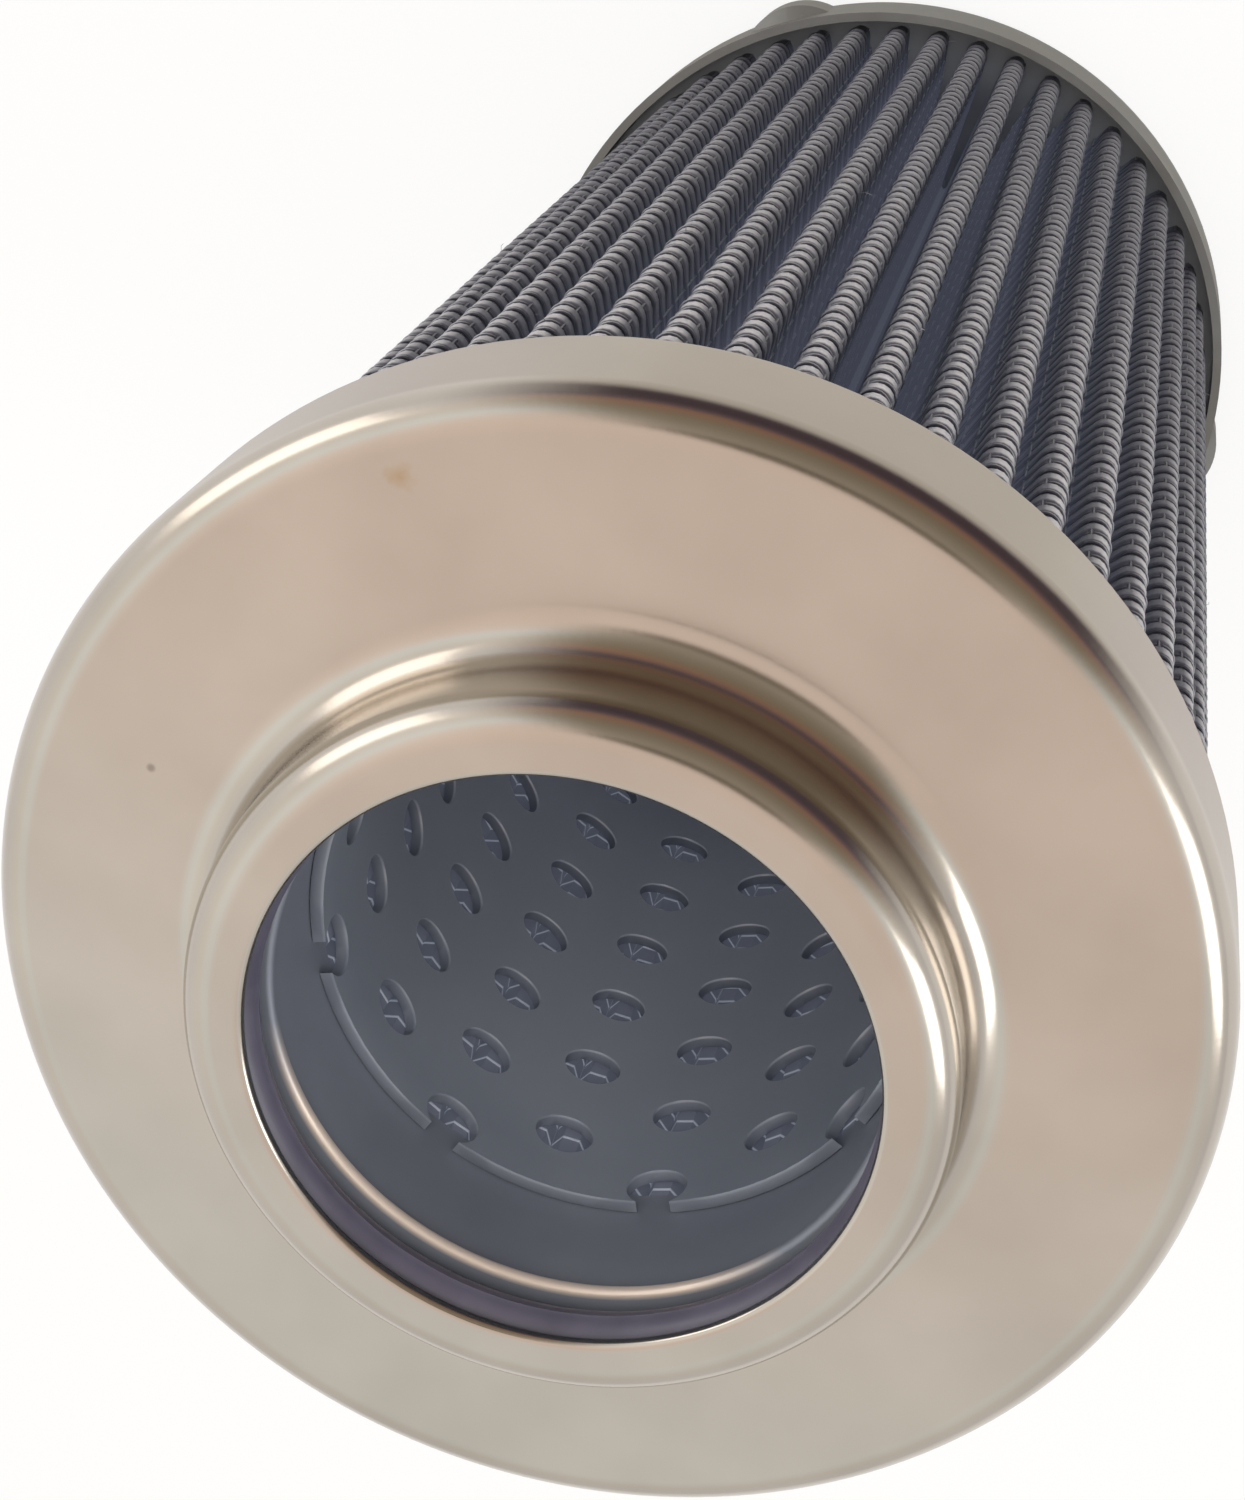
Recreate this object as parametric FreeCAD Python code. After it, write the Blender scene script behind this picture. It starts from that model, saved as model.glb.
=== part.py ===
import FreeCAD, Part
import math
import os

Vector = FreeCAD.Vector

# Driving dimensions in mm. The closed cap stands on z = 0 and the open neck points up.
overall_length = 143.5
cap_radius = 34.0
sheet = 0.8
rim_bend = 2.2
top_skirt = 10.0
bottom_skirt = 9.0

# Open neck of the top cap
neck_height = 7.0
neck_shoulder = 2.0
neck_foot_fillet = 2.3
mouth_radius = 16.7

# Sealing ring in the neck, and the collar that carries it
ring_inset = 0.1
ring_section = 1.525
ring_slack = 0.85
collar_sheet = 0.8
collar_edge_round = 0.35

# Perforated centre tube
tube_wall = 0.8
tube_top_drop = 13.5
hole_radius = 1.8
hole_pitch = 7.8
hole_columns = 16
first_hole_drop = 5.4
first_column_angle = 7.0

# Pleated pack: woven wire outside, glass fibre mat, woven wire inside
fold_spacing = 2.24
first_crest_angle = -2.0
crest_round = 1.15
root_round = 0.12
wire_cloth = 0.24
glass_mat = 0.42

# Potting beds that hold the pack in the caps
top_potting_depth = 7.5
bottom_potting_depth = 4.0

# Lugs pressed out of the bottom cap's skirt
lug_count = 3
lug_first_angle = -53.0
lug_radius = 6.0
lug_rise = 1.2
lug_bottom = 2.6
lug_top = 6.4

# Clearances between mating pieces
ring_gap = 0.05
pack_gap = 0.6
tube_fit = 0.05
ply_gap = 0.03

face_height = overall_length - neck_height
ring_bore = mouth_radius - ring_inset
neck_radius = ring_bore + 2 * ring_section + ring_gap + sheet
tube_bore = mouth_radius
tube_radius = tube_bore + tube_wall
pack_radius = cap_radius - sheet - pack_gap
collar_top = overall_length - sheet - ring_slack - 2 * ring_section
collar_bore = tube_radius + tube_fit
collar_radius = collar_bore + collar_sheet
tube_top = overall_length - tube_top_drop
pack_bottom = sheet + bottom_potting_depth
pack_top = face_height - sheet - top_potting_depth
mat_depth = wire_cloth + ply_gap
backing_depth = mat_depth + glass_mat + ply_gap
pack_depth = backing_depth + wire_cloth
root_reach = tube_radius + ply_gap + pack_depth + root_round
pleat_count = int(2 * math.pi * root_reach / fold_spacing)
pleat_pitch = 2 * math.pi / pleat_count
up = Vector(0, 0, 1)
origin = Vector(0, 0, 0)


def point(radius, height):
    return Vector(radius, 0, height)


def polar(radius, angle):
    return Vector(radius * math.cos(angle), radius * math.sin(angle), 0)


def arc_to(start, end, centre):
    # arc of less than half a turn from start to end round the centre
    radius = (start - centre).Length
    crown = centre + ((start + end) * 0.5 - centre).normalize() * radius
    return Part.Arc(start, crown, end).toShape()


def turned(outline):
    # the outline lists end points, each with the centre of its arc where the stretch is round
    edges = []
    last = outline[-1][0]
    for step in outline:
        end = step[0]
        edges.append(arc_to(last, end, step[1]) if len(step) > 1 else Part.makeLine(last, end))
        last = end
    return Part.Face(Part.Wire(edges)).revolve(origin, up, 360)


def top_end_cap():
    # one stamped cup with a drawn neck whose lip is turned in
    rim, face, bend = cap_radius, face_height, rim_bend
    neck, top, shoulder, foot = neck_radius, overall_length, neck_shoulder, neck_foot_fillet
    return turned([
        [point(mouth_radius, top)],
        [point(neck - shoulder, top)],
        [point(neck, top - shoulder), point(neck - shoulder, top - shoulder)],
        [point(neck, face + foot)],
        [point(neck + foot, face), point(neck + foot, face + foot)],
        [point(rim - bend, face)],
        [point(rim, face - bend), point(rim - bend, face - bend)],
        [point(rim, face - top_skirt)],
        [point(rim - sheet, face - top_skirt)],
        [point(rim - sheet, face - bend)],
        [point(rim - bend, face - sheet)],
        [point(neck + foot, face - sheet)],
        [point(neck - sheet, face + foot), point(neck + foot, face + foot)],
        [point(neck - sheet, top - shoulder)],
        [point(neck - shoulder, top - sheet), point(neck - shoulder, top - shoulder)],
        [point(mouth_radius, top - sheet)],
    ])


def neck_seal_ring():
    centre = overall_length - sheet - ring_gap - ring_section
    return Part.makeTorus(ring_bore + ring_section, ring_section, Vector(0, 0, centre))


def seal_collar():
    # sleeve over the tube's end, its top edge turned in under the sealing ring
    under, edge = collar_top - collar_sheet, collar_edge_round
    return turned([
        [point(collar_radius, collar_top)],
        [point(collar_radius, pack_top)],
        [point(collar_bore, pack_top)],
        [point(collar_bore, under)],
        [point(mouth_radius + edge, under)],
        [point(mouth_radius, under + edge), point(mouth_radius + edge, under + edge)],
        [point(mouth_radius, collar_top - edge)],
        [point(mouth_radius + edge, collar_top), point(mouth_radius + edge, collar_top - edge)],
    ])


def centre_tube():
    # rolled sheet with round holes, every other column half a pitch higher and cut by the top edge
    length = tube_top - sheet
    tube = Part.makeCylinder(tube_radius, length, Vector(0, 0, sheet))
    tube = tube.cut(Part.makeCylinder(tube_bore, length, Vector(0, 0, sheet)))
    rows = int((length - first_hole_drop) / hole_pitch)
    punches = []
    for column in range(hole_columns):
        angle = math.radians(first_column_angle + 360 * column / hole_columns)
        outward = Vector(math.cos(angle), math.sin(angle), 0)
        for row in range(rows):
            height = tube_top - first_hole_drop - hole_pitch * (row - 0.5 * (column % 2))
            start = outward * (tube_bore - tube_wall) + Vector(0, 0, height)
            punches.append(Part.makeCylinder(hole_radius, 3 * tube_wall, start, outward))
    return tube.cut(Part.makeCompound(punches))


def fold_points(depth, crest_sides, root_sides):
    # one crest and one root of a ply's surface, this deep below the pack's outer surface
    half = pleat_pitch / 2
    crest_centre = Vector(pack_radius - crest_round, 0, 0)
    root_centre = polar(root_reach, half)
    crest, root = crest_round - depth, root_round + depth
    between = root_centre - crest_centre
    flank = math.atan2(between.y, between.x) - math.acos((crest + root) / between.Length)
    sweep = flank - half
    points = [crest_centre + polar(crest, flank * (2 * k / crest_sides - 1)) for k in range(crest_sides + 1)]
    for k in range(root_sides + 1):
        points.append(root_centre + polar(root, math.pi + half - sweep * (2 * k / root_sides - 1)))
    return points


def pleated_face(depth, crest_sides, root_sides):
    fold = fold_points(depth, crest_sides, root_sides)
    points = []
    for k in range(pleat_count):
        turn = FreeCAD.Rotation(up, first_crest_angle + 360 * k / pleat_count)
        points += [turn.multVec(p) for p in fold]
    return Part.Face(Part.makePolygon(points + points[:1]))


def pleated_ply(outside, inside):
    # a ply between two folded surfaces, each given as its depth and the sides of its crests and roots
    ring = pleated_face(*outside).cut(pleated_face(*inside))
    ply = ring.extrude(up * (pack_top - pack_bottom))
    ply.translate(up * pack_bottom)
    return ply


def outer_mesh():
    return pleated_ply((0, 4, 1), (wire_cloth, 3, 2))


def filter_media():
    return pleated_ply((mat_depth, 3, 2), (mat_depth + glass_mat, 2, 3))


def inner_mesh():
    return pleated_ply((backing_depth, 2, 3), (pack_depth, 1, 3))


def top_potting():
    # cast bed that fills the cap round the neck and the collar, down to the pack's end
    rim, face = cap_radius - sheet, face_height - sheet
    foot, foot_height = neck_radius + neck_foot_fillet, face_height + neck_foot_fillet
    return turned([
        [point(collar_radius, pack_top)],
        [point(rim, pack_top)],
        [point(rim, face_height - rim_bend)],
        [point(cap_radius - rim_bend, face)],
        [point(foot, face)],
        [point(neck_radius - sheet, foot_height), point(foot, foot_height)],
        [point(collar_radius, foot_height)],
    ])


def bottom_potting():
    rim = cap_radius - sheet
    return turned([
        [point(tube_radius, sheet)],
        [point(cap_radius - rim_bend, sheet)],
        [point(rim, rim_bend)],
        [point(rim, pack_bottom)],
        [point(tube_radius, pack_bottom)],
    ])


def lug_pillar(radius):
    centre = cap_radius + lug_rise - lug_radius
    height = lug_top - lug_bottom
    slope = lug_rise + sheet
    pillar = Part.makeCylinder(radius, height, Vector(centre, 0, lug_bottom))
    top = Part.makeCone(radius, radius - slope, slope, Vector(centre, 0, lug_top))
    foot = Part.makeCone(radius - slope, radius, slope, Vector(centre, 0, lug_bottom - slope))
    return pillar.fuse([top, foot])


def bottom_end_cap():
    # stamped cup, closed, with lugs pressed outwards from its skirt
    rim, bend = cap_radius, rim_bend
    cup = turned([
        [point(0, 0)],
        [point(rim - bend, 0)],
        [point(rim, bend), point(rim - bend, bend)],
        [point(rim, bottom_skirt)],
        [point(rim - sheet, bottom_skirt)],
        [point(rim - sheet, bend)],
        [point(rim - bend, sheet)],
        [point(0, sheet)],
    ])
    inside = Part.makeCylinder(rim - sheet, bottom_skirt)
    for k in range(lug_count):
        angle = lug_first_angle + 360 * k / lug_count
        lug = lug_pillar(lug_radius).cut(inside)
        hollow = lug_pillar(lug_radius - sheet)
        lug.rotate(origin, up, angle)
        hollow.rotate(origin, up, angle)
        cup = cup.fuse(lug).cut(hollow.common(Part.makeCylinder(rim + lug_rise, bottom_skirt)))
    return cup.removeSplitter()


def save(name, shape):
    if len(shape.Solids) == 1:
        shape = shape.Solids[0]
    print("%s: %d solid, %.0f mm3, valid %s" % (name, len(shape.Solids), shape.Volume, shape.isValid()))
    shape.exportStep("parts/%s.step" % name)


os.makedirs("parts", exist_ok=True)
save("top_end_cap", top_end_cap())
save("neck_seal_ring", neck_seal_ring())
save("seal_collar", seal_collar())
save("top_potting", top_potting())
save("outer_mesh", outer_mesh())
save("filter_media", filter_media())
save("inner_mesh", inner_mesh())
save("centre_tube", centre_tube())
save("bottom_potting", bottom_potting())
save("bottom_end_cap", bottom_end_cap())
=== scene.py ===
import math
import random
import bpy
from mathutils import Matrix, Vector


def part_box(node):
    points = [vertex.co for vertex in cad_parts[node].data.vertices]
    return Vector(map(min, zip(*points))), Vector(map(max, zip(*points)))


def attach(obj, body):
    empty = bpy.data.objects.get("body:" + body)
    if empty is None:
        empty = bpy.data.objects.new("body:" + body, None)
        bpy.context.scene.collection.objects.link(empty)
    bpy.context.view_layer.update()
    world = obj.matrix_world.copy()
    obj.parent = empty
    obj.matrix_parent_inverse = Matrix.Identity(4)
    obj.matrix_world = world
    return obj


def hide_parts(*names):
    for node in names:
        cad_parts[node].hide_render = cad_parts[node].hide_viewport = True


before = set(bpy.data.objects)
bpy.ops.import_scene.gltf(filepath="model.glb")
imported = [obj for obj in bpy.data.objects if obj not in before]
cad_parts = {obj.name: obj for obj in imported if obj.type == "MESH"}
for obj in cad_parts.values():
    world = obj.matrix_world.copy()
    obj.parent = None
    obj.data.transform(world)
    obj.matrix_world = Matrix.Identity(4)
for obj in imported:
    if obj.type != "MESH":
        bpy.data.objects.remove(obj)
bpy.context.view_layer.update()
mm = 0.001
print("frame loaded:", len(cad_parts), "nodes")


# Small tools for shaping a piece

shaping = {
    "bendStep": 9,            # degrees, about, between the points of a bend
    "longRun": 0.9,           # mm; a straight longer than this gets a point close to both of its ends
    "flatEnd": 0.15,          # how close that point lies
    "weld": 0.002,            # points closer than this become one
    "pleatWeld": 0.02,        # the same where a pleat meets the next one
}


def deselectAll():
    if bpy.context.object and bpy.context.object.mode != "OBJECT":
        bpy.ops.object.mode_set(mode="OBJECT")
    bpy.ops.object.select_all(action="DESELECT")


def makeActive(piece):
    deselectAll()
    piece.select_set(True)
    bpy.context.view_layer.objects.active = piece


def finishPiece(piece, material, nodeNames=(), smoothUpTo=50):
    makeActive(piece)
    bpy.ops.object.shade_smooth_by_angle(angle=math.radians(smoothUpTo))
    piece.data.materials.clear()
    piece.data.materials.append(material)
    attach(piece, "root")
    if nodeNames:
        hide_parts(*nodeNames)
    print("piece", piece.name, sum(len(face.vertices) - 2 for face in piece.data.polygons), "triangles")


def wireMesh(name, paths, radius):
    # each path becomes a four-sided wire
    curve = bpy.data.curves.new(name, "CURVE")
    curve.dimensions = "3D"
    curve.bevel_depth = radius
    curve.bevel_resolution = 0
    curve.use_fill_caps = True
    for path in paths:
        spline = curve.splines.new("POLY")
        spline.points.add(len(path) - 1)
        for point, place in zip(spline.points, path):
            point.co = (*place, 1.0)
    piece = bpy.data.objects.new(name, curve)
    bpy.context.collection.objects.link(piece)
    makeActive(piece)
    bpy.ops.object.convert(target="MESH")
    return bpy.context.object


def arrayAlongAxis(piece, count, step):
    makeActive(piece)
    bpy.ops.object.modifier_add(type="ARRAY")
    rows = piece.modifiers[-1]
    rows.count = count
    rows.use_relative_offset = False
    rows.use_constant_offset = True
    rows.constant_offset_displace = (0, 0, step)
    bpy.ops.object.modifier_apply(modifier=rows.name)


def arrayRoundAxis(piece, count, merge):
    bpy.ops.object.empty_add(location=(0, 0, 0), rotation=(0, 0, 2 * math.pi / count))
    turn = bpy.context.object
    makeActive(piece)
    bpy.ops.object.modifier_add(type="ARRAY")
    ring = piece.modifiers[-1]
    ring.count = count
    ring.use_relative_offset = False
    ring.use_object_offset = True
    ring.offset_object = turn
    ring.use_merge_vertices = merge
    ring.use_merge_vertices_cap = merge
    ring.merge_threshold = shaping["pleatWeld"] * mm
    bpy.ops.object.modifier_apply(modifier=ring.name)
    bpy.data.objects.remove(turn)


def bend(centre, radius, start, end):
    # stretch of an outline round a centre, from one angle to another in degrees
    steps = max(3, round(abs(end - start) / shaping["bendStep"]))
    angles = [math.radians(start + (end - start) * k / steps) for k in range(steps + 1)]
    return [(centre[0] + radius * math.cos(a), centre[1] + radius * math.sin(a)) for a in angles]


def spunPiece(name, outline, turns):
    # a closed outline in mm, drawn point by point as radius and height, then spun round the axis
    bpy.ops.mesh.primitive_plane_add(size=mm, location=(0, 0, 0))
    piece = bpy.context.object
    piece.name = name
    bpy.ops.object.mode_set(mode="EDIT")
    bpy.ops.mesh.select_all(action="SELECT")
    bpy.ops.mesh.merge(type="CENTER")
    bpy.ops.transform.translate(value=(outline[0][0] * mm, 0, outline[0][1] * mm))
    for here, there in zip(outline, outline[1:] + outline[:1]):
        run = Vector(there) - Vector(here)
        # points close to both ends of a long run keep its shading flat
        shares = (1.0,)
        if run.length > shaping["longRun"]:
            near = shaping["flatEnd"] / run.length
            shares = (near, 1 - near, 1.0)
        last = 0.0
        for share in shares:
            step = run * (share - last) * mm
            bpy.ops.mesh.extrude_region_move(TRANSFORM_OT_translate={"value": (step.x, 0, step.y)})
            last = share
    bpy.ops.mesh.select_all(action="SELECT")
    bpy.ops.mesh.remove_doubles(threshold=shaping["weld"] * mm)
    bpy.ops.mesh.select_all(action="SELECT")
    bpy.ops.mesh.spin(steps=turns, angle=2 * math.pi, center=(0, 0, 0), axis=(0, 0, 1))
    bpy.ops.mesh.select_all(action="SELECT")
    bpy.ops.mesh.remove_doubles(threshold=shaping["weld"] * mm)
    bpy.ops.mesh.normals_make_consistent(inside=False)
    bpy.ops.object.mode_set(mode="OBJECT")
    return piece


# Small tools for finishes

def toLinear(hexColour):
    values = [int(hexColour[i:i + 2], 16) / 255 for i in (1, 3, 5)]
    linear = [v / 12.92 if v <= 0.04045 else ((v + 0.055) / 1.055) ** 2.4 for v in values]
    return (*linear, 1.0)


def addNode(tree, kind, links=None, numbers=None, stops=(), **settings):
    # links and numbers go to inputs, stops to a colour ramp, and settings to the node or to inputs by name
    node = tree.nodes.new("ShaderNode" + kind)
    for key, value in settings.items():
        if hasattr(node, key):
            setattr(node, key, value)
        else:
            node.inputs[key.replace("_", " ")].default_value = value
    for key, value in (numbers or {}).items():
        node.inputs[key].default_value = value
    for count, (place, colour) in enumerate(stops):
        elements = node.color_ramp.elements
        element = elements[count] if count < 2 else elements.new(place)
        element.position = place
        element.color = toLinear(colour)
    for key, source in (links or {}).items():
        tree.links.new(source, node.inputs[key])
    return node


def newMaterial(name):
    material = bpy.data.materials.new(name)
    material.use_nodes = True
    material.node_tree.nodes.clear()
    return material, material.node_tree


def fromAxis(tree, place):
    level = addNode(tree, "VectorMath", {0: place}, {1: (1, 1, 0)}, operation="MULTIPLY").outputs[0]
    return addNode(tree, "VectorMath", {0: level}, operation="LENGTH").outputs["Value"]


# Materials

marks = {
    "stain": (18.8 * mm, -23.8 * mm, 136.5 * mm),   # on the cap's face
    "pit": (26.2 * mm, -2.6 * mm, 136.5 * mm),
}


def brightPlatedSteel():
    # pressed mild steel with bright zinc plating: a warm satin mirror, faintly cloudy, drawn a little
    # grainy where the press stretched it, with one small yellow stain and a dark pit on the face
    material, tree = newMaterial("brightPlatedSteel")
    place = addNode(tree, "TexCoord").outputs["Object"]
    clouds = addNode(tree, "TexNoise", {"Vector": place}, Scale=1 / (9 * mm), Detail=3.0).outputs["Fac"]
    tone = addNode(tree, "ValToRGB", {"Fac": clouds}, stops=[(0.3, "#b9b1a7"), (0.7, "#c2bab0")])
    # the stain is about 1.5 mm across and the pit 0.5 mm, so both are as large as they show
    stainPlace = addNode(tree, "VectorMath", {0: place}, {1: marks["stain"]},
                         operation="DISTANCE").outputs["Value"]
    wobble = addNode(tree, "TexNoise", {"Vector": place}, Scale=1 / (0.9 * mm), Detail=3.0).outputs["Fac"]
    stainEdge = addNode(tree, "Math", {0: wobble, 2: stainPlace}, {1: 1.2 * mm}, operation="MULTIPLY_ADD")
    stainMask = addNode(tree, "MapRange", {"Value": stainEdge.outputs[0]},
                        {"From Min": 0.5 * mm, "From Max": 1.5 * mm, "To Min": 0.55, "To Max": 0.0})
    stained = addNode(tree, "Mix", {0: stainMask.outputs[0], 6: tone.outputs[0]}, {7: toLinear("#a8884c")},
                      data_type="RGBA")
    pitPlace = addNode(tree, "VectorMath", {0: place}, {1: marks["pit"]},
                       operation="DISTANCE").outputs["Value"]
    pitMask = addNode(tree, "MapRange", {"Value": pitPlace},
                      {"From Min": 0.12 * mm, "From Max": 0.32 * mm, "To Min": 0.45, "To Max": 0.0})
    colour = addNode(tree, "Mix", {0: pitMask.outputs[0], 6: stained.outputs[2]}, {7: toLinear("#5a4c40")},
                     data_type="RGBA")
    rough = addNode(tree, "MapRange", {"Value": clouds},
                    {"From Min": 0.25, "From Max": 0.75, "To Min": 0.17, "To Max": 0.22})
    grain = addNode(tree, "TexNoise", {"Vector": place}, Scale=1 / (0.35 * mm), Detail=2.0).outputs["Fac"]
    bump = addNode(tree, "Bump", {"Height": grain}, Strength=0.04, Distance=0.05 * mm)
    shader = addNode(tree, "BsdfPrincipled", {"Base Color": colour.outputs[2], "Roughness": rough.outputs[0],
                                              "Normal": bump.outputs[0]}, Metallic=1.0)
    addNode(tree, "OutputMaterial", {"Surface": shader.outputs[0]})
    return material


def dullShadedPlatedSteel():
    # the same plating, duller and blotchy, painted darker and greyer than the open cap as painted shade for
    # the shaded closed end
    material, tree = newMaterial("dullShadedPlatedSteel")
    place = addNode(tree, "TexCoord").outputs["Object"]
    blotches = addNode(tree, "TexNoise", {"Vector": place}, Scale=1 / (6 * mm), Detail=4.0).outputs["Fac"]
    # painted shade: the plating's colour darkened and greyed
    tone = addNode(tree, "ValToRGB", {"Fac": blotches}, stops=[(0.3, "#757573"), (0.7, "#838483")])
    rough = addNode(tree, "MapRange", {"Value": blotches},
                    {"From Min": 0.3, "From Max": 0.7, "To Min": 0.42, "To Max": 0.55})
    grain = addNode(tree, "TexNoise", {"Vector": place}, Scale=1 / (0.4 * mm), Detail=2.0).outputs["Fac"]
    bump = addNode(tree, "Bump", {"Height": grain}, Strength=0.08, Distance=0.05 * mm)
    shader = addNode(tree, "BsdfPrincipled", {"Base Color": tone.outputs[0], "Roughness": rough.outputs[0],
                                              "Normal": bump.outputs[0]}, Metallic=0.6)
    addNode(tree, "OutputMaterial", {"Surface": shader.outputs[0]})
    return material


inside = {
    "paintedFill": (127.0, 90.0),     # mm above the floor, from where a painted fill starts to lighten the tube's inside to where it is full, further in
    "sheared": (16.8, 16.9),      # mm from the axis, just outside the tube's inner wall
    "highlightEdge": (137.85, 138.1),   # mm above the floor, the collar's turned-in edge, where a highlight is painted
    "highlightSide": (7.5, 12.5),       # mm towards +Y, over which the painted highlight fades in
    "highlightInner": (17.25, 17.0),    # mm from the axis, over which the painted highlight fades in
}


def rolledTubeSteel():
    # cold-rolled perforated strip: slate grey and softly shining under a thin oil film, painted lighter
    # further in as a painted fill where less light reaches, and darker where it is sheared through, in the
    # holes and at its open end
    material, tree = newMaterial("rolledTubeSteel")
    place = addNode(tree, "TexCoord").outputs["Object"]
    film = addNode(tree, "TexNoise", {"Vector": place}, Scale=1 / (7 * mm), Detail=3.0).outputs["Fac"]
    tone = addNode(tree, "ValToRGB", {"Fac": film}, stops=[(0.3, "#969da9"), (0.7, "#9ea4af")])
    height = addNode(tree, "SeparateXYZ", {"Vector": place}).outputs["Z"]
    # painted fill: the inside is painted lighter further in, where less light reaches it
    further = addNode(tree, "MapRange", {"Value": height},
                      {"From Min": inside["paintedFill"][0] * mm, "From Max": inside["paintedFill"][1] * mm})
    paintedFill = addNode(tree, "Mix", {0: further.outputs[0], 6: tone.outputs[0]}, {7: toLinear("#e4e8f0")},
                      data_type="RGBA")
    sheared = addNode(tree, "MapRange", {"Value": fromAxis(tree, place)},
                      {"From Min": inside["sheared"][0] * mm, "From Max": inside["sheared"][1] * mm})
    colour = addNode(tree, "Mix", {0: sheared.outputs[0], 6: paintedFill.outputs[2]}, {7: toLinear("#8b909b")},
                     data_type="RGBA")
    rolling = addNode(tree, "TexNoise", {"Vector": place}, Scale=1 / (0.5 * mm), Detail=3.0).outputs["Fac"]
    bump = addNode(tree, "Bump", {"Height": rolling}, Strength=0.06, Distance=0.05 * mm)
    shader = addNode(tree, "BsdfPrincipled", {"Base Color": colour.outputs[2], "Normal": bump.outputs[0]},
                     Metallic=0.35, Roughness=0.5)
    addNode(tree, "OutputMaterial", {"Surface": shader.outputs[0]})
    return material


def highlitCollarSteel():
    # the collar is the tube's steel; a painted highlight makes its turned-in top edge bright and warm
    # on the +Y side, where the light from the mouth falls, and the edge is less rough there
    material, tree = newMaterial("highlitCollarSteel")
    place = addNode(tree, "TexCoord").outputs["Object"]
    axes = addNode(tree, "SeparateXYZ", {"Vector": place}).outputs
    # painted highlight: the turned-in edge, on its +Y side and inside
    edge = addNode(tree, "MapRange", {"Value": axes["Z"]},
                   {"From Min": inside["highlightEdge"][0] * mm, "From Max": inside["highlightEdge"][1] * mm})
    side = addNode(tree, "MapRange", {"Value": axes["Y"]},
                   {"From Min": inside["highlightSide"][0] * mm, "From Max": inside["highlightSide"][1] * mm})
    inner = addNode(tree, "MapRange", {"Value": fromAxis(tree, place)},
                    {"From Min": inside["highlightInner"][0] * mm, "From Max": inside["highlightInner"][1] * mm})
    edgeSide = addNode(tree, "Math", {0: edge.outputs[0], 1: side.outputs[0]}, operation="MULTIPLY")
    paintedHighlight = addNode(tree, "Math", {0: edgeSide.outputs[0], 1: inner.outputs[0]}, operation="MULTIPLY")
    film = addNode(tree, "TexNoise", {"Vector": place}, Scale=1 / (7 * mm), Detail=3.0).outputs["Fac"]
    dark = addNode(tree, "ValToRGB", {"Fac": film}, stops=[(0.3, "#868b97"), (0.7, "#8f949f")])
    # the painted highlight's bright, warm colour
    colour = addNode(tree, "Mix", {0: paintedHighlight.outputs[0], 6: dark.outputs[0]}, {7: toLinear("#e8d8ca")},
                     data_type="RGBA")
    rough = addNode(tree, "MapRange", {"Value": paintedHighlight.outputs[0]}, {"To Min": 0.5, "To Max": 0.3})
    shader = addNode(tree, "BsdfPrincipled",
                     {"Base Color": colour.outputs[2], "Roughness": rough.outputs[0]}, Metallic=0.35)
    addNode(tree, "OutputMaterial", {"Surface": shader.outputs[0]})
    return material


paintedPackShading = {
    "foldReach": (32.0, 28.5),    # mm from the axis, from just under the crests to deep in the folds
    "lightFalloff": (45.0, 122.0),     # mm above the floor, from the far part to the open end, over which the painted light falls off
    # share of the painted light that is left at the far part
    "farLightShare": 0.15,
    "crestReach": (32.08, 32.44),   # mm from the axis, from a crest's side to its top, where a highlight is painted
    "creaseShadeReach": (0.58, 0.44),   # mm from a wire, over which painted shade darkens the felt beside it
    "wireReach": (0.08, 0.17),      # mm from the middle of an inner wire to its side
}


def foldDepth(tree, place):
    # 0 at the crests to 1 deep in the folds
    crest, deep = paintedPackShading["foldReach"]
    return addNode(tree, "MapRange", {"Value": fromAxis(tree, place)},
                   {"From Min": crest * mm, "From Max": deep * mm}).outputs[0]


def towardsMouth(tree, place):
    # 1 near the open end, falling to little in its far third: painted light that fades away from the open
    # end
    height = addNode(tree, "SeparateXYZ", {"Vector": place}).outputs["Z"]
    far, near = paintedPackShading["lightFalloff"]
    return addNode(tree, "MapRange", {"Value": height},
                   {"From Min": far * mm, "From Max": near * mm,
                    "To Min": paintedPackShading["farLightShare"], "To Max": 1.0}).outputs[0]


def crestTop(tree, place):
    # up to 1 along the tops of the crests, where a highlight is painted, less towards the closed end
    side, crown = paintedPackShading["crestReach"]
    top = addNode(tree, "MapRange", {"Value": fromAxis(tree, place)},
                  {"From Min": side * mm, "From Max": crown * mm}).outputs[0]
    return addNode(tree, "Math", {0: top, 1: towardsMouth(tree, place)}, operation="MULTIPLY").outputs[0]


def nearestRow(tree, place, rowHeight, rowPitch):
    # distance to the nearest wire across the folds, 0 at a wire to half a pitch between two
    height = addNode(tree, "SeparateXYZ", {"Vector": place}).outputs["Z"]
    fromRow = addNode(tree, "Math", {0: height}, {1: rowHeight}, operation="SUBTRACT").outputs[0]
    return addNode(tree, "Math", {0: fromRow}, {1: rowPitch / 2}, operation="PINGPONG").outputs[0]


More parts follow.
